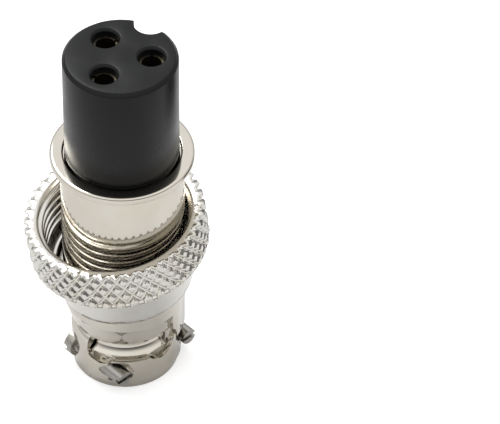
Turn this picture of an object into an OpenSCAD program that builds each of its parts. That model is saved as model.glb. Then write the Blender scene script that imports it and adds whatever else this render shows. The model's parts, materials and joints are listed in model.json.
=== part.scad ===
// Three-contact aviation plug for a cable: a black insert with socket
// contacts, a front sleeve that holds it, a barrel shell, a knurled coupling
// nut that hangs loose and tilted on the barrel, and a two-screw cable clamp.
// Z is the plug's axis, and z = 0 is the rear end of the clamp.

/* [Shell] */
// diameter of the barrel
shell_d = 12.7; // [11.5:0.05:14.5]
// wall of the barrel around its threaded bore
shell_wall = 0.65; // [0.5:0.05:0.7]
// height of the flange's front face above the rear end
flange_z = 28.9; // [28.5:0.1:31]
// height of the barrel's rear rim
rim_z = 6.5; // [6.4:0.1:6.8]
// length of the taper in front of that rim
taper_len = 2.4; // [2:0.1:2.5]
// how much the taper takes off the barrel's radius
taper_in = 0.65; // [0.5:0.05:0.7]
// thickness of the barrel's rear wall
rear_wall = 1.5; // [1.2:0.1:1.8]

/* [Front sleeve] */
// how far the flange stands out around the barrel
flange_rim = 1.05; // [1:0.05:1.1]
// thickness of the flange
flange_t = 0.8; // [0.7:0.1:1]
// bevel of the flange's front edge
flange_bevel = 0.2; // [0.1:0.05:0.3]
// length of the tube that screws into the shell
sleeve_len = 4.5; // [4:0.5:5]
// wall of that tube
sleeve_wall = 0.6; // [0.5:0.05:0.7]
// play between the tube and the barrel's bore
thread_fit = 0.05; // [0.03:0.01:0.06]
// depth of the recess around the insert's nose
recess_depth = 0.4; // [0.3:0.05:0.5]
// width of the gap around the insert's nose
recess_gap = 0.2; // [0.15:0.05:0.3]

/* [Insert] */
// how much smaller the nose is than the barrel, on each side
nose_step = 0.5; // [0.45:0.05:0.55]
// how far the nose stands out in front of the flange
insert_reach = 12.7; // [8:0.1:14]
// play between the insert and the tube
insert_fit = 0.05; // [0.03:0.01:0.06]
// length of the part inside the tube
insert_tail_len = 8; // [6:0.5:8]
// bevel of the front edge
insert_bevel = 0.35; // [0.2:0.05:0.5]
// how much smaller the nose's root is, on each side
root_step = 0.35; // [0.3:0.05:0.4]
// how far that root shows in front of the flange
root_show = 0.1; // [0.1:0.05:0.2]
// depth of the keyway
key_depth = 1.75; // [1.4:0.05:1.8]
// radius of the keyway's round floor
key_r = 1.75; // [1.6:0.05:1.8]
// direction of the keyway
key_az = 58; // [50:70]

/* [Contacts] */
// distance from the contacts' axes to the outside of the insert's tail
contact_inset = 1.9; // [1.8:0.05:2]
// direction of the first contact
contact_az = -2; // [-5:5]
// diameter of the mating pin
pin_d = 2; // [1.9:0.05:2]
// play around the mating pin
socket_fit = 0.03; // [0.02:0.01:0.05]
// wall of the socket
socket_wall = 0.22; // [0.2:0.01:0.25]
// play around each contact in the insert
contact_fit = 0.05; // [0.03:0.01:0.06]
// bevel at the mouth of each contact hole
contact_bevel = 0.26; // [0.2:0.02:0.3]
// depth of the socket
socket_depth = 9; // [7:0.5:10]
// how far the sockets sit below the insert's face
contact_recess = 0.9; // [0.5:0.1:1.5]
// width of the slot that lets the socket spring
slot_w = 0.3; // [0.2:0.05:0.4]
// length of that slot
slot_len = 5; // [3:0.5:6]
// radial size of the collar behind the insert
collar_rim = 0.35; // [0.25:0.05:0.4]
// thickness of that collar
collar_t = 0.6; // [0.4:0.1:0.8]
// length of the solder cup
cup_len = 4; // [3:0.5:4]
// wall of the solder cup
cup_wall = 0.4; // [0.35:0.05:0.5]

/* [Coupling nut] */
// room between the flange and the crests of the nut's thread
flange_room = 0.1; // [0.08:0.01:0.15]
// thickness from the thread's crests to the top of the knurl
nut_wall = 1.9; // [1.8:0.05:2.2]
// whole length of the nut
nut_len = 9.5; // [9:0.5:12]
// length of the knurled band
knurl_len = 4.5; // [4:0.5:5]
// rows of knurl pads
knurl_rows = 4; // [3:5]
// pads around the nut
knurl_pads = 40; // [30:44]
// height of the pads
pad_h = 0.45; // [0.3:0.05:0.5]
// depth of the threaded bore
thread_depth = 6; // [5.5:0.5:6]
// chamfer at the mouth
mouth_bevel = 0.65; // [0.4:0.05:0.8]
// step from the knurl down to the cone behind it
cone_step = 1.3; // [1:0.05:1.3]
// wall at the cone's rear end
cone_wall = 0.3; // [0.3:0.05:0.4]
// room on each side between the barrel and the nut's rear bore
nut_room = 0.4; // [0.4:0.05:0.5]
// tilt of the loose nut
nut_tilt = 7.8; // [0:0.1:7.8]
// direction in which the nut's mouth leans
nut_az = -155; // [-180:5:180]
// how far the nut's mouth has dropped behind the flange's front face
nut_back = 8.36; // [7:0.1:8.5]

/* [Cable clamp] */
// direction from the saddle towards the fixed half
clamp_az = -48.7; // [-60:0.1:-40]
// how much smaller the fixed half is than the barrel, on each side
strap_step = 0.5; // [0.45:0.05:0.6]
// height of the fixed half's strap
strap_h = 3.9; // [3.8:0.1:4.1]
// height of the smaller foot below the strap
foot_h = 0.9; // [0.6:0.1:1]
// step from the strap down to the foot
foot_step = 0.3; // [0.2:0.05:0.4]
// radius of the hollow neck between the strap and the barrel
cove_r = 1.45; // [1.35:0.05:1.5]
// depth of the two notches in the strap's upper edge
notch = 0.6; // [0.4:0.05:0.7]
// width of those notches
notch_w = 2; // [1.6:0.1:2.4]
// height where the wide tongue ends
tongue_z = 5.2; // [5:0.1:5.6]
// side of the tongue, from the clamp's direction
tongue_from = 11; // [8:14]
// distance from the axis to the parting line
parting = 0.6; // [0.4:0.1:0.8]
// gap between the two halves at the strap
parting_fit = 0.04; // [0.02:0.01:0.06]
// gap between the two halves at the neck
parting_gap = 0.24; // [0.2:0.02:0.3]
// how much smaller the saddle is than the barrel, on each side
saddle_step = 0.7; // [0.65:0.05:0.8]
// gap between the saddle and the barrel's rear rim
saddle_room = 0.4; // [0.3:0.05:0.6]
// radius of the saddle's round shoulder
shoulder_r = 1.4; // [1:0.1:1.5]
// distance from a screw's axis to the outside of the barrel
screw_inset = 1.8; // [1.75:0.05:1.9]
// height of the screws
screw_z = 2.4; // [2.3:0.1:2.5]
// diameter of the screws
screw_d = 1.8; // [1.7:0.05:1.8]
// play around each screw
screw_fit = 0.05; // [0.04:0.01:0.06]
// metal between each screw's hole and the cable's hole
cable_wall = 0.35; // [0.3:0.05:0.5]
// diameter of the screw heads
head_d = 2.8; // [2.7:0.05:2.9]
// height of the screw heads
head_h = 1.1; // [1:0.1:1.3]
// distance from the axis to the seats of the heads
head_seat = 2; // [1.9:0.1:2.2]
// room around each head in its seat
head_room = 0.15; // [0.1:0.05:0.2]
// distance from the axis to the screws' tips
screw_tip = 5; // [4.8:0.1:5.2]
// distance from the axis to the floor of the pocket around each tip
tip_pocket = 2.9; // [2.7:0.1:3.2]
// width of that pocket around the screw
pocket_rim = 0.4; // [0.3:0.05:0.45]
// depth and width of the screwdriver slots
slot = 0.45; // [0.4:0.05:0.5]

/* [Hidden] */

$fn = 96;
eps = 0.01;

shell_r = shell_d / 2;
shell_bore_d = shell_d - 2 * shell_wall;
shell_top = flange_z - flange_t;
chamber_z = rim_z + rear_wall;
rim_d = shell_d - 2 * taper_in;

sleeve_d = shell_bore_d - 2 * thread_fit;
sleeve_bore_d = sleeve_d - 2 * sleeve_wall;
flange_d = shell_d + 2 * flange_rim;

face_z = flange_z + insert_reach;
recess_z = flange_z - recess_depth;
insert_d = shell_d - 2 * nose_step;
insert_tail_d = sleeve_bore_d - 2 * insert_fit;
tail_z = recess_z - insert_tail_len;
root_z = flange_z + root_show;

contact_ring_r = insert_tail_d / 2 - contact_inset;
socket_r = pin_d / 2 + socket_fit;
contact_r = socket_r + socket_wall;
contact_hole_r = contact_r + contact_fit;
contact_top = face_z - contact_recess;
cup_z = tail_z - collar_t - cup_len;

thread_d = flange_d + 2 * flange_room;
nut_d = thread_d + 2 * nut_wall;
nut_bore_d = shell_d + 2 * nut_room;
cone_front_d = nut_d - 2 * cone_step;
cone_rear_d = nut_bore_d + 2 * cone_wall;
nut_shoulder = nut_len - thread_depth;
// the nut's axis crosses the plug's axis in the middle of the nut's rear bore
cross_s = nut_shoulder / 2;
cross_z = flange_z - nut_back - (nut_len - cross_s) * cos(nut_tilt);
rim_band = 0.3;
row_pitch = (knurl_len - 2 * rim_band) / knurl_rows;
row_gap = row_pitch / 4;

strap_r = shell_r - strap_step;
saddle_h = rim_z - saddle_room;
saddle_r = shell_r - saddle_step;
foot_r = strap_r - foot_step;
screw_y = shell_r - screw_inset;
screw_hole_r = screw_d / 2 + screw_fit;
cable_r = screw_y - screw_hole_r - cable_wall;
tongue_top = rim_z + taper_len + 0.1;
tongue_r = shell_r - 0.05;

// a ring of pads with an inner radius inside the nut's wall
module pad_ring(h, turn) {
    step = 360 / knurl_pads;
    outer = nut_d / 2;
    inner = outer - pad_h - 0.05;
    linear_extrude(h)
        polygon([for (i = [0:knurl_pads - 1], k = [0:3])
            let (a = step * (i + [0.04, 0.28, 0.72, 0.96][k]) + turn,
                 r = (k == 0 || k == 3) ? inner : outer)
            [r * cos(a), r * sin(a)]]);
}

// puts a nut drawn upright, rear end at z = 0, where it hangs on the barrel
module nut_place() {
    translate([0, 0, cross_z])
        rotate([0, 0, nut_az])
            rotate([0, nut_tilt, 0])
                translate([0, 0, -cross_s])
                    children();
}

// an upright wedge of the clamp's collar between two directions
module sector(from, to, r, z0, z1) {
    translate([0, 0, z0])
        linear_extrude(z1 - z0)
            polygon(concat([[0, 0]],
                [for (i = [0:16])
                    let (a = from + (to - from) * i / 16)
                    [r * cos(a), r * sin(a)]]));
}

// a screw's own line: x along the screw, the head at negative x
module at_screw(side) {
    rotate([0, 0, clamp_az])
        translate([0, side * screw_y, screw_z])
            rotate([0, 90, 0])
                children();
}

module contact_place(i) {
    rotate([0, 0, contact_az + 120 * i])
        translate([contact_ring_r, 0, 0])
            children();
}

module front_sleeve() {
    color([0.80, 0.79, 0.76])
    difference() {
        union() {
            translate([0, 0, shell_top])
                cylinder(h = flange_t - flange_bevel, d = flange_d);
            translate([0, 0, flange_z - flange_bevel])
                cylinder(h = flange_bevel, d1 = flange_d, d2 = flange_d - 2 * flange_bevel);
            translate([0, 0, shell_top - sleeve_len])
                cylinder(h = sleeve_len + eps, d = sleeve_d);
        }
        translate([0, 0, recess_z])
            cylinder(h = flange_t, d = insert_d + 2 * recess_gap);
        translate([0, 0, shell_top - sleeve_len - 1])
            cylinder(h = sleeve_len + 2, d = sleeve_bore_d);
    }
}

module insert() {
    color([0.10, 0.10, 0.10])
    difference() {
        union() {
            translate([0, 0, tail_z])
                cylinder(h = insert_tail_len + eps, d = insert_tail_d);
            // a slightly smaller root inside the flange's recess
            translate([0, 0, recess_z])
                cylinder(h = root_z - recess_z + eps, d = insert_d - 2 * root_step);
            translate([0, 0, root_z])
                cylinder(h = face_z - insert_bevel - root_z, d = insert_d);
            translate([0, 0, face_z - insert_bevel])
                cylinder(h = insert_bevel, d1 = insert_d, d2 = insert_d - 2 * insert_bevel);
        }
        for (i = [0:2])
            contact_place(i) {
                translate([0, 0, tail_z - 1])
                    cylinder(h = face_z - tail_z + 2, r = contact_hole_r, $fn = 48);
                translate([0, 0, face_z - contact_bevel])
                    cylinder(h = contact_bevel + eps, r1 = contact_hole_r,
                             r2 = contact_hole_r + contact_bevel, $fn = 48);
            }
        rotate([0, 0, key_az])
            translate([insert_d / 2 - key_depth + key_r, 0, recess_z + flange_t])
                cylinder(h = face_z, r = key_r);
    }
}

module contact(i) {
    color([0.83, 0.74, 0.50])
    contact_place(i)
        difference() {
            union() {
                translate([0, 0, tail_z])
                    cylinder(h = contact_top - tail_z, r = contact_r, $fn = 48);
                translate([0, 0, tail_z - collar_t])
                    cylinder(h = collar_t, r = contact_r + collar_rim, $fn = 48);
                translate([0, 0, cup_z])
                    cylinder(h = cup_len + eps, r = contact_r, $fn = 48);
            }
            translate([0, 0, contact_top - socket_depth])
                cylinder(h = socket_depth + 1, r = socket_r, $fn = 48);
            translate([0, 0, contact_top - slot_len])
                translate([-slot_w / 2, -pin_d, 0])
                    cube([slot_w, 2 * pin_d, slot_len + 1]);
            translate([0, 0, cup_z - 1])
                cylinder(h = cup_len, r = contact_r - cup_wall, $fn = 48);
            // the cup is open on the side that faces away from the axis
            translate([contact_r / 4, -pin_d, cup_z - 1])
                cube([pin_d, 2 * pin_d, cup_len]);
        }
}
module contact_1() { contact(0); }
module contact_2() { contact(1); }
module contact_3() { contact(2); }

module shell() {
    color([0.78, 0.77, 0.74])
    difference() {
        union() {
            translate([0, 0, rim_z + taper_len])
                cylinder(h = shell_top - rim_z - taper_len, d = shell_d);
            translate([0, 0, rim_z])
                cylinder(h = taper_len + eps, d1 = rim_d, d2 = shell_d);
            rotate([0, 0, clamp_az])
                fixed_half();
        }
        translate([0, 0, chamber_z])
            cylinder(h = flange_z, d = shell_bore_d);
        translate([0, 0, -1])
            cylinder(h = flange_z, r = cable_r);
        for (side = [-1, 1])
            at_screw(side) {
                cylinder(h = shell_d, r = screw_hole_r, $fn = 48);
                translate([0, 0, tip_pocket])
                    cylinder(h = shell_d, r = screw_hole_r + pocket_rim, $fn = 48);
            }
    }
}

// the clamp's fixed half, in its own direction
module fixed_half() {
    difference() {
        union() {
            cylinder(h = foot_h + eps, r = foot_r);
            translate([0, 0, foot_h])
                cylinder(h = strap_h - foot_h, r = strap_r);
            // a hollow neck joins the strap to the barrel's rear wall
            translate([0, 0, foot_h])
                neck();
            // the tongue that reaches up onto the barrel
            intersection() {
                union() {
                    translate([0, 0, foot_h])
                        cylinder(h = tongue_z - foot_h + eps, r = strap_r);
                    translate([0, 0, tongue_z])
                        cylinder(h = tongue_top - tongue_z, r = tongue_r);
                }
                sector(tongue_from, 84, shell_d, foot_h, tongue_top + 1);
            }
        }
        translate([-shell_d + parting + parting_fit / 2, -shell_d, -1])
            cube([shell_d, 2 * shell_d, rim_z + 1]);
        // notches in the strap's upper edge
        for (a = [-70, tongue_from - 12])
            rotate([0, 0, a])
                translate([strap_r - cove_r / 2, 0, strap_h - notch + notch_w])
                    rotate([0, 90, 0])
                        cylinder(h = shell_d, r = notch_w, $fn = 48);
    }
}

// a round hollow between the strap's top and the barrel's rear rim
module neck() {
    h = rim_z + 0.2 - foot_h;
    rotate_extrude()
        difference() {
            square([strap_r, h]);
            translate([strap_r, strap_h + cove_r - foot_h])
                circle(r = cove_r);
            translate([strap_r - cove_r / 2, strap_h + cove_r - foot_h])
                square([cove_r, h]);
        }
}

module coupling_nut() {
    color([0.80, 0.80, 0.78])
    nut_place()
        difference() {
            union() {
                cylinder(h = nut_len - knurl_len + eps, d1 = cone_rear_d, d2 = cone_front_d);
                translate([0, 0, nut_len - knurl_len])
                    cylinder(h = knurl_len, d = nut_d - 2 * pad_h);
                for (k = [0:knurl_rows - 1])
                    translate([0, 0, nut_len - knurl_len + rim_band + k * row_pitch + row_gap / 2])
                        pad_ring(row_pitch - row_gap, (k % 2) * 180 / knurl_pads);
            }
            translate([0, 0, -1])
                cylinder(h = nut_len + 2, d = nut_bore_d);
            translate([0, 0, nut_shoulder])
                cylinder(h = thread_depth + 1, d = thread_d);
            translate([0, 0, nut_len - mouth_bevel])
                cylinder(h = mouth_bevel + eps, d1 = thread_d, d2 = thread_d + 2 * mouth_bevel);
        }
}

module clamp_saddle() {
    color([0.76, 0.75, 0.72])
    rotate([0, 0, clamp_az])
        difference() {
            saddle_form();
            translate([parting - parting_fit / 2, -shell_d, -1])
                cube([shell_d, 2 * shell_d, saddle_h + 2]);
            translate([parting - parting_gap, -shell_d, strap_h])
                cube([shell_d, 2 * shell_d, saddle_h]);
            translate([0, 0, -1])
                cylinder(h = saddle_h + 2, r = cable_r);
            for (side = [-1, 1])
                translate([0, side * screw_y, screw_z])
                    rotate([0, 90, 0]) {
                        translate([0, 0, -shell_d])
                            cylinder(h = 2 * shell_d, r = screw_hole_r, $fn = 48);
                        // flat seat for the head
                        translate([0, 0, -head_seat - shell_d])
                            cylinder(h = shell_d, r = head_d / 2 + head_room, $fn = 48);
                    }
        }
}

// a ring with a smaller foot and a round upper shoulder
module saddle_form() {
    rotate_extrude()
        union() {
            square([foot_r, foot_h + eps]);
            square([saddle_r - shoulder_r + eps, saddle_h]);
            translate([0, foot_h])
                square([saddle_r, saddle_h - shoulder_r - foot_h]);
            intersection() {
                translate([saddle_r - shoulder_r, saddle_h - shoulder_r])
                    circle(r = shoulder_r);
                square([saddle_r, saddle_h]);
            }
        }
}

module clamp_screw(side) {
    color([0.45, 0.44, 0.42])
    at_screw(side)
        difference() {
            union() {
                translate([0, 0, -head_seat])
                    cylinder(h = head_seat + screw_tip, r = screw_d / 2, $fn = 48);
                translate([0, 0, -head_seat - head_h])
                    cylinder(h = head_h, r = head_d / 2, $fn = 48);
            }
            translate([-slot / 2, -head_d, -head_seat - head_h - 1])
                cube([slot, 2 * head_d, 1 + slot]);
            translate([-slot / 2, -head_d, screw_tip - slot])
                cube([slot, 2 * head_d, 1]);
        }
}
module clamp_screw_a() { clamp_screw(-1); }
module clamp_screw_b() { clamp_screw(1); }

front_sleeve();
insert();
contact_1();
contact_2();
contact_3();
shell();
coupling_nut();
clamp_saddle();
clamp_screw_a();
clamp_screw_b();
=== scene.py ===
"""A three-contact aviation plug: black insert, bright nickel-plated barrel,
knurled coupling nut hanging tilted on it, and a two-screw cable clamp."""
import json
import math

import bmesh
import bpy
from mathutils import Matrix, Vector

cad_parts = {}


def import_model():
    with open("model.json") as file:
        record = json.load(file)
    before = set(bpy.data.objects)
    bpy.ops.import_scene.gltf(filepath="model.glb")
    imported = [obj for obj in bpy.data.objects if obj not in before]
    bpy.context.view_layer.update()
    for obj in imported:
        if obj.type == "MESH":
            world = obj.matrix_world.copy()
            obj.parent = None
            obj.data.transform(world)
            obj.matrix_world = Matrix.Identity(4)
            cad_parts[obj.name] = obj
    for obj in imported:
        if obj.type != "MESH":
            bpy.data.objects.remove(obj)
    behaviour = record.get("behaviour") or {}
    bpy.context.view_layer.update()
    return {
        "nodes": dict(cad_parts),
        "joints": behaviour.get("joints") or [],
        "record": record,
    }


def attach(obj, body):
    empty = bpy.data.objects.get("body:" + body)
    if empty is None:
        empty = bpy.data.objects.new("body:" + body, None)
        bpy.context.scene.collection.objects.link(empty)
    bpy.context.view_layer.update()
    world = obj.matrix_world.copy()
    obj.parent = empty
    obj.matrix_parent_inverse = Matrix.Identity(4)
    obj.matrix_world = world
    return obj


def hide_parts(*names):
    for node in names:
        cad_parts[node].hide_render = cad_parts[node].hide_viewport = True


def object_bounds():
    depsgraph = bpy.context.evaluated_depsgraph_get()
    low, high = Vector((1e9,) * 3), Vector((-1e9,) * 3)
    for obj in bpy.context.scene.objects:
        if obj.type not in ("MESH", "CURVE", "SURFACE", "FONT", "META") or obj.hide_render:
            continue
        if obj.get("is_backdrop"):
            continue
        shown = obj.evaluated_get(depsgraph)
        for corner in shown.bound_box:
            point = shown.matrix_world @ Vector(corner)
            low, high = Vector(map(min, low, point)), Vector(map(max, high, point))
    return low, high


# one millimetre in the scene's metres
MM = 0.001
TAU = 2 * math.pi

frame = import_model()
nodes = frame["nodes"]


# ---------------------------------------------------------------- shader maths

# the colour sockets of a Mix node, which its other kinds share by name
MIX_FACTOR, MIX_A, MIX_B, MIX_RESULT = 0, 6, 7, 2
BUMP_DEPTH = 0.02 * MM


class Sock:
    """A shader socket that can be used in plain Python arithmetic."""

    def __init__(self, maker, out):
        self.maker = maker
        self.out = out

    def _op(self, kind, a, b):
        return self.maker.node("ShaderNodeMath", {"operation": kind}, [a, b])

    def __add__(self, other):
        return self._op("ADD", self, other)

    def __radd__(self, other):
        return self._op("ADD", other, self)

    def __sub__(self, other):
        return self._op("SUBTRACT", self, other)

    def __rsub__(self, other):
        return self._op("SUBTRACT", other, self)

    def __mul__(self, other):
        return self._op("MULTIPLY", self, other)

    def __rmul__(self, other):
        return self._op("MULTIPLY", other, self)

    def max(self, other):
        return self._op("MAXIMUM", self, other)

    def clamp(self):
        return self.maker.node("ShaderNodeClamp", {}, [self, 0.0, 1.0])


class Maker:
    """Makes one material's (or the world's) nodes."""

    def __init__(self, owner):
        owner.use_nodes = True
        self.tree = owner.node_tree
        self.tree.nodes.clear()

    def node(self, kind, settings=None, inputs=None, out=0):
        """Adds a node: settings first, then its inputs by index or by name."""
        made = self.tree.nodes.new(kind)
        for key, value in (settings or {}).items():
            setattr(made, key, value)
        pairs = inputs.items() if isinstance(inputs, dict) else enumerate(inputs or [])
        for key, value in pairs:
            if isinstance(value, Sock):
                self.tree.links.new(value.out, made.inputs[key])
            else:
                made.inputs[key].default_value = value
        return Sock(self, made.outputs[out]) if made.outputs else None

    def mix(self, factor, a, b):
        """A colour between a and b."""
        return self.node("ShaderNodeMix", {"data_type": "RGBA"},
                         {MIX_FACTOR: factor, MIX_A: a, MIX_B: b}, MIX_RESULT)

    def fade(self, value, low, high):
        """Rises smoothly from 0 at low to 1 at high."""
        return self.node("ShaderNodeMapRange", {"interpolation_type": "SMOOTHSTEP"},
                         [value, low, high, 0.0, 1.0])

    def on_piece(self):
        """The point's place on its own piece."""
        return self.node("ShaderNodeTexCoord", out="Object")

    def noise(self, scale, detail):
        return self.node("ShaderNodeTexNoise", {"noise_dimensions": "3D"},
                         {"Vector": self.on_piece(), "Scale": scale, "Detail": detail})

    def bump(self, strength, height):
        return self.node("ShaderNodeBump", {},
                         {"Strength": strength, "Distance": BUMP_DEPTH, "Height": height})

    def finish(self, shader):
        self.node("ShaderNodeOutputMaterial", {}, [shader])


def grey(value):
    return (value, value, value, 1.0)


# ------------------------------------------------------------------- finishes

WARM_SKIN = (0.93, 0.90, 0.84)
TURNING_MARKS = (500.0, 500.0, 9000.0)
SMOOTHEST = 0.03
PHENOLIC = (0.003, 0.0032, 0.0036, 1.0)
DULL_PHENOLIC = (0.006, 0.0063, 0.0070, 1.0)


def plated_metal(name, colour, roughness, cloud=0.05, pits=0.0):
    """Nickel plate over turned brass: faint clouding, fine scratches, and a
    slightly warmer skin in patches."""
    material = bpy.data.materials.new(name)
    m = Maker(material)
    clouds = m.noise(260.0, 4.0)
    fine = m.noise(2600.0, 3.0)
    stretched = m.node("ShaderNodeMapping", {}, {"Vector": m.on_piece(), "Scale": TURNING_MARKS})
    turning = m.node("ShaderNodeTexNoise", {"noise_dimensions": "3D"},
                     {"Vector": stretched, "Scale": 1.0, "Detail": 2.0})
    warm = tuple(c * k for c, k in zip(colour, WARM_SKIN)) + (1.0,)
    tint = m.mix(((clouds - 0.42) * 2.4).clamp(), colour, warm)
    rough = roughness + (clouds - 0.5) * cloud + (fine - 0.5) * cloud * 0.7
    height = turning * 0.6 + fine * (0.4 + pits)
    m.finish(m.node("ShaderNodeBsdfPrincipled", {}, {
        "Base Color": tint, "Metallic": 1.0, "Roughness": rough.max(SMOOTHEST),
        "Normal": m.bump(0.06 + pits, height)}))
    return material


def moulded_black(name):
    """Satin black phenolic: a fine even grain, duller in faint patches."""
    material = bpy.data.materials.new(name)
    m = Maker(material)
    clouds = m.noise(420.0, 3.0)
    grain = m.noise(9000.0, 2.0)
    m.finish(m.node("ShaderNodeBsdfPrincipled", {}, {
        "Base Color": m.mix(clouds, PHENOLIC, DULL_PHENOLIC),
        "Roughness": 0.30 + (clouds - 0.5) * 0.14,
        "Specular IOR Level": 0.17, "Normal": m.bump(0.12, grain)}))
    return material


NICKEL = plated_metal("polished nickel", (0.55, 0.52, 0.465, 1.0), 0.09)
NUT_PLATE = plated_metal("bright nickel on the nut", (0.60, 0.585, 0.55, 1.0), 0.13, pits=0.05)
SCREW_STEEL = plated_metal("dull screw plate", (0.33, 0.32, 0.30, 1.0), 0.28, 0.12, 0.1)
CONTACT_PLATE = plated_metal("contact plate", (0.10, 0.085, 0.06, 1.0), 0.40)
BLACK = moulded_black("black insert")


# ---------------------------------------------------------------- mesh helpers

# angles in degrees
CREASE = 35.0
BROKEN_EDGE_CREASE = 28.0
SHARP = 32.0
FLAT = 0.6
# points closer than this, in mm, are one point
WELD = 0.002
# the share of a side that a rounded corner may take
REACH_SHARE = 0.48


def new_piece(name, mesh_data, material, body, replaced, smooth=CREASE):
    """Puts a finished mesh into the scene on its body."""
    verts, faces = mesh_data
    mesh = bpy.data.meshes.new(name)
    mesh.from_pydata([tuple(v) for v in verts], [], faces)
    mesh.validate()
    mesh.materials.append(material)
    piece = bpy.data.objects.new(name, mesh)
    bpy.context.scene.collection.objects.link(piece)
    settle(piece, smooth)
    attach(piece, body)
    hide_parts(*replaced)


def settle(piece, smooth):
    """Outward normals, and smooth shading up to the given crease angle."""
    bm = bmesh.new()
    bm.from_mesh(piece.data)
    bmesh.ops.recalc_face_normals(bm, faces=bm.faces)
    for face in bm.faces:
        face.smooth = True
    limit = math.radians(smooth)
    for edge in bm.edges:
        edge.smooth = len(edge.link_faces) == 2 and edge.calc_face_angle(0.0) < limit
    bm.to_mesh(piece.data)
    bm.free()


def turned(profile, around, radius_at=None, place=Matrix.Identity(4)):
    """A closed body of revolution. profile is a closed loop of (r, z) in mm,
    and radius_at(r, z, angle) may change each point's radius."""
    verts, faces = [], []
    count = len(profile)
    for i in range(around):
        angle = TAU * i / around
        for r, z in profile:
            real = radius_at(r, z, angle) if radius_at else r
            point = Vector((real * math.cos(angle), real * math.sin(angle), z)) * MM
            verts.append(place @ point)
    for i in range(around):
        a, b = i * count, ((i + 1) % around) * count
        for k in range(count):
            n = (k + 1) % count
            faces.append((a + k, b + k, b + n, a + n))
    return verts, faces


def rounded(profile, steps):
    """Rounds the corners of a closed loop. Each point is (r, z, fillet)."""
    loop = []
    count = len(profile)
    for i, (r, z, fillet) in enumerate(profile):
        here = Vector((r, z))
        before = Vector(profile[i - 1][:2]) - here
        after = Vector(profile[(i + 1) % count][:2]) - here
        if fillet <= 0:
            loop.append((r, z))
            continue
        reach = min(fillet, before.length * REACH_SHARE, after.length * REACH_SHARE)
        start = here + before.normalized() * reach
        end = here + after.normalized() * reach
        for s in range(steps + 1):
            t = s / steps
            point = start * (1 - t) ** 2 + here * 2 * t * (1 - t) + end * t * t
            loop.append((point.x, point.y))
    return loop


def edged(node, name, material, width):
    """A copy of a CAD node's form with its sharp edges broken by width."""
    source = nodes[node]
    mesh = source.data.copy()
    mesh.name = name
    mesh.materials.clear()
    mesh.materials.append(material)
    piece = bpy.data.objects.new(name, mesh)
    bpy.context.scene.collection.objects.link(piece)
    bm = bmesh.new()
    bm.from_mesh(mesh)
    bmesh.ops.remove_doubles(bm, verts=bm.verts, dist=WELD * MM)
    bmesh.ops.dissolve_limit(bm, angle_limit=math.radians(FLAT), verts=bm.verts, edges=bm.edges)
    sharp = [e for e in bm.edges if len(e.link_faces) == 2
             and e.calc_face_angle(0.0) > math.radians(SHARP)]
    bmesh.ops.bevel(bm, geom=sharp, offset=width * MM, offset_type="OFFSET",
                    segments=2, profile=0.6, affect="EDGES", clamp_overlap=True)
    bmesh.ops.triangulate(bm, faces=bm.faces)
    bm.to_mesh(mesh)
    bm.free()
    settle(piece, BROKEN_EDGE_CREASE)
    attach(piece, piece_body[node])
    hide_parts(node)


record = frame["record"]
piece_body = {n: body for body, members in record["behaviour"]["bodies"].items() for n in members}


# ---------------------------------------------------------------- coupling nut

# sizes in mm
NUT_LEN = 9.5
NUT_R = 9.4
SHOULDER_Z = 3.5
REAR_BORE_R = 6.75
MOUTH_R = 8.15
# the knurled band at the front
KNURL_LEN = 4.5
KNURL_Z = NUT_LEN - KNURL_LEN
RIM = 0.2
PAD_H = 0.45
PADS = 40
PAD_LONG = 2.1
KNURL_ROWS = 52
KNURL_NEAR = 0.3
# the cone behind it
CONE_R = 7.05
CONE_GROWS = 1.05
CONE_STEPS = 6
STEP_FOOT_R = 8.16
STEP_R = 8.75
# the thread
THREAD_R = 7.5
THREAD_NEAR = 0.01
THREAD_CUT = 0.52
THREAD_PITCH = 1.0
THREAD_RUN_OUT = 1.6
THREAD_ROWS = 78
NUT_AROUND = 480
NUT_CREASE = 70.0

spin = next(j for j in frame["joints"] if j["name"] == "nut_spin")
nut_axis = Vector(spin["axis"]).normalized()
nut_cross = Vector(spin["pos_m"])
# the nut's own z runs along its axis, zero at its rear end
nut_turn = Vector((0, 0, 1)).rotation_difference(nut_axis).to_matrix().to_4x4()
nut_place = (Matrix.Translation(nut_cross) @ nut_turn
             @ Matrix.Translation((0, 0, -SHOULDER_Z / 2 * MM)))


def from_whole(value):
    """Distance to the nearest whole number, 0 to 0.5."""
    return abs(value - round(value))


def smooth_step(low, high, value):
    t = min(max((value - low) / (high - low), 0.0), 1.0)
    return t * t * (3 - 2 * t)


def knurl_height(angle, z):
    """Height of the diamond pads left between two crossing sets of grooves."""
    across = PADS * angle / TAU
    along = (z - KNURL_Z) / PAD_LONG + 0.25
    groove = min(from_whole(across + along), from_whole(across - along))
    return smooth_step(0.04, 0.30, groove)


def nut_radius(r, z, angle):
    """Cuts the knurl's grooves and the thread into the plain turned nut."""
    if r > NUT_R - PAD_H - KNURL_NEAR and z > KNURL_Z:
        band = smooth_step(KNURL_Z + 0.05, KNURL_Z + 0.35, z)
        return r - PAD_H * (1 - knurl_height(angle, z)) * band
    if abs(r - THREAD_R) < THREAD_NEAR and z > SHOULDER_Z:
        turn = from_whole((z - NUT_LEN) / THREAD_PITCH - angle / TAU)
        depth = THREAD_CUT * min(1.0, (z - SHOULDER_Z) / THREAD_RUN_OUT + 0.1)
        cut = 1 - smooth_step(0.10, 0.42, turn)
        # the mouth's chamfer takes the first turns away
        return max(r + depth * cut, MOUTH_R - (NUT_LEN - z))
    return r


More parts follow.
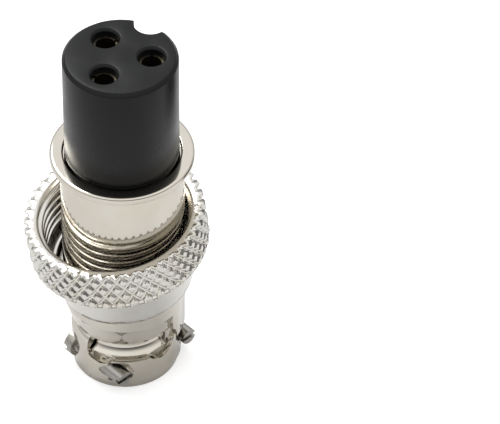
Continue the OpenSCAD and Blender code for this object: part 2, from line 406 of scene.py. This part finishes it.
def nut_profile():
    """Closed (r, z) loop of the plain nut, from the rear rim up the outside."""
    loop = [(REAR_BORE_R + 0.12, 0.0), (CONE_R - 0.07, 0.0), (CONE_R, 0.07)]
    loop += [(CONE_R + CONE_GROWS * t / CONE_STEPS, KNURL_Z * t / CONE_STEPS)
             for t in range(1, CONE_STEPS)]
    # a small cove and the step out to the knurl
    loop += [(STEP_FOOT_R - 0.08, KNURL_Z - 0.06), (STEP_FOOT_R, KNURL_Z), (STEP_R, KNURL_Z + 0.01)]
    loop += [(NUT_R - 0.14, KNURL_Z + 0.06), (NUT_R, KNURL_Z + RIM)]
    knurl_top = NUT_LEN - 0.16
    loop += [(NUT_R, KNURL_Z + RIM + (knurl_top - KNURL_Z - RIM) * t / KNURL_ROWS)
             for t in range(1, KNURL_ROWS + 1)]
    # front face and the threaded bore, back down to the shoulder
    loop += [(NUT_R - 0.08, NUT_LEN - 0.05), (NUT_R - 0.22, NUT_LEN)]
    loop += [(MOUTH_R + 0.1, NUT_LEN), (MOUTH_R, NUT_LEN - 0.04)]
    thread_top = NUT_LEN - 0.1
    loop += [(THREAD_R, thread_top - (thread_top - SHOULDER_Z - 0.02) * t / THREAD_ROWS)
             for t in range(THREAD_ROWS + 1)]
    loop += [(REAR_BORE_R + 0.1, SHOULDER_Z), (REAR_BORE_R, SHOULDER_Z - 0.1)]
    loop += [(REAR_BORE_R, 0.12)]
    return loop


new_piece("coupling_nut_dressed", turned(nut_profile(), NUT_AROUND, nut_radius, nut_place),
          NUT_PLATE, "nut", ["coupling_nut"], smooth=NUT_CREASE)


# -------------------------------------------------------------- front sleeve

# sizes in mm
FLANGE_Z = 28.9
FLANGE_R = 7.4
FLANGE_T = 0.8
SLEEVE_R = 5.65
SLEEVE_BORE_R = 5.05
RECESS_R = 6.05
RECESS = 0.4
SLEEVE_LEN = 4.5
FLANGE_REAR_Z = FLANGE_Z - FLANGE_T
SLEEVE_REAR_Z = FLANGE_REAR_Z - SLEEVE_LEN
SLEEVE_AROUND = 240

sleeve = rounded([
    (SLEEVE_BORE_R, SLEEVE_REAR_Z, 0.1),
    (SLEEVE_R, SLEEVE_REAR_Z, 0.15),
    (SLEEVE_R, FLANGE_REAR_Z, 0.0),
    (FLANGE_R, FLANGE_REAR_Z, 0.12),
    (FLANGE_R, FLANGE_Z, 0.36),
    (RECESS_R, FLANGE_Z, 0.14),
    (RECESS_R, FLANGE_Z - RECESS, 0.06),
    (SLEEVE_BORE_R, FLANGE_Z - RECESS, 0.04)], 5)
new_piece("front_sleeve_dressed", turned(sleeve, SLEEVE_AROUND),
          NICKEL, "plug", ["front_sleeve"])


# ------------------------------------------------- pieces with broken edges

edged("shell", "shell_dressed", NICKEL, 0.09)
edged("clamp_saddle", "clamp_saddle_dressed", NICKEL, 0.12)
edged("insert", "insert_dressed", BLACK, 0.12)
for letter in "ab":
    edged(f"clamp_screw_{letter}", f"clamp_screw_{letter}_dressed", SCREW_STEEL, 0.1)
for number in (1, 2, 3):
    nodes[f"contact_{number}"].data.materials.clear()
    nodes[f"contact_{number}"].data.materials.append(CONTACT_PLATE)


# ------------------------------------------------------------ floor and studio

# half the floor's side in metres, and its depth under the plug in mm
FLOOR_HALF = 1.2
FLOOR_DROP = 0.02
FLOOR_GREY = 0.74
FLOOR_GLOW = 0.42
GLOSSY_SHARE = 0.12
WHITE = grey(1.0)


def seen_directly(m):
    """1 where the background should show as it is, and a part of that in
    the metal's reflections."""
    camera_ray = m.node("ShaderNodeLightPath", out="Is Camera Ray")
    glossy_ray = m.node("ShaderNodeLightPath", out="Is Glossy Ray")
    transmission_ray = m.node("ShaderNodeLightPath", out="Is Transmission Ray")
    return camera_ray.max(glossy_ray * GLOSSY_SHARE).max(transmission_ray)


def rectangle(name, width, height, material):
    """A flat board, face up, that belongs to the studio."""
    w, h = width / 2, height / 2
    mesh = bpy.data.meshes.new(name)
    mesh.from_pydata([(-w, -h, 0), (w, -h, 0), (w, h, 0), (-w, h, 0)], [], [(0, 1, 2, 3)])
    mesh.materials.append(material)
    board = bpy.data.objects.new(name, mesh)
    bpy.context.scene.collection.objects.link(board)
    return board


def aimed(centre, target):
    """The turn that points -Z from centre to target."""
    return (Vector(target) - Vector(centre)).to_track_quat("-Z", "Y").to_euler()


def floor():
    material = bpy.data.materials.new("white table")
    m = Maker(material)
    paper = m.node("ShaderNodeBsdfDiffuse", {}, {"Color": grey(FLOOR_GREY), "Roughness": 0.5})
    glow = m.node("ShaderNodeEmission", {}, [WHITE, seen_directly(m) * FLOOR_GLOW])
    m.finish(m.node("ShaderNodeAddShader", {}, [paper, glow]))
    board = rectangle("floor", 2 * FLOOR_HALF, 2 * FLOOR_HALF, material)
    board.location.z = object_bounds()[0][2] - FLOOR_DROP * MM
    board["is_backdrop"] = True


def card(name, centre, target, width, height, value):
    """A studio card of one tone that only shows in glossy reflections."""
    material = bpy.data.materials.new(name)
    m = Maker(material)
    m.finish(m.node("ShaderNodeEmission", {}, [grey(value), 1.0]))
    board = rectangle(name, width, height, material)
    board.location = centre
    board.rotation_euler = aimed(centre, target)
    board.visible_camera = False
    board.visible_diffuse = False
    board.visible_shadow = False
    board.visible_transmission = False
    board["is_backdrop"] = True


def lamp(name, centre, target, size, watts):
    light = bpy.data.lights.new(name, "AREA")
    light.shape = "SQUARE"
    light.size = size
    light.energy = watts
    made = bpy.data.objects.new(name, light)
    made.location = centre
    made.rotation_euler = aimed(centre, target)
    bpy.context.scene.collection.objects.link(made)


# tones of the studio that the metal mirrors
HORIZON = 0.50
OVERHEAD_ADDS = 0.85
LEFT_ADDS = 0.20
FRONT_TAKES = 0.42
DARKEST = 0.04


def world():
    """A soft studio: bright overhead and behind, duller at the front's horizon."""
    made = bpy.data.worlds.new("studio")
    bpy.context.scene.world = made
    m = Maker(made)
    where = m.node("ShaderNodeTexCoord", out="Generated")
    x, y, z = [m.node("ShaderNodeSeparateXYZ", {}, [where], axis) for axis in "XYZ"]
    overhead = m.fade(z, 0.15, 0.75)
    front = m.fade(-1.0 * y, 0.1, 0.8)
    left = m.fade(-1.0 * x, 0.0, 0.9)
    studio = (HORIZON + OVERHEAD_ADDS * overhead + LEFT_ADDS * left
              - FRONT_TAKES * front * (1.0 - overhead)).max(DARKEST)
    seen = seen_directly(m)
    strength = studio * (1.0 - seen) + seen
    background = m.node("ShaderNodeBackground", {}, [WHITE, strength])
    m.node("ShaderNodeOutputWorld", {}, [background])


LOOKS_DOWN = math.radians(43.1)
ROLL = math.radians(-1.06)
# metres from the flange's middle
DISTANCE = 0.450
# mm
SENSOR = 36.0
LENS = 319.752


def camera():
    """Looks down on the plug, which stands left of the middle of the picture."""
    data = bpy.data.cameras.new("camera")
    data.sensor_width = SENSOR
    data.lens = LENS
    data.clip_start = 0.01
    data.clip_end = 10.0
    made = bpy.data.objects.new("camera", data)
    bpy.context.scene.collection.objects.link(made)
    bpy.context.scene.camera = made
    aim_at = Vector((0, 0, FLANGE_Z * MM))
    towards = Vector((0, math.cos(LOOKS_DOWN), -math.sin(LOOKS_DOWN)))
    # level axes of a camera that looks straight at the aimed point
    right = Vector((1, 0, 0))
    up = right.cross(towards)
    level = Matrix((right, up, -towards)).transposed()
    # where the aimed point falls on the sensor, from its middle, y up
    ray = Vector((-9.216, 4.5, -LENS)).normalized()
    rolled = Matrix.Rotation(ROLL, 3, "Z")
    swing = Vector((0, 0, -1)).rotation_difference(rolled @ ray).to_matrix()
    turn = level @ swing.transposed() @ rolled
    made.matrix_world = Matrix.Translation(aim_at - towards * DISTANCE) @ turn.to_4x4()


scene = bpy.context.scene
floor()
world()
camera()
lamp("softbox", (-0.20, 0.30, 0.50), (0, 0, 0.02), 0.30, 2.2)
card("dark card", (0.040, 0.012, 0.012), (0, 0, 0.015), 0.024, 0.022, 0.03)
scene.view_settings.view_transform = "Standard"
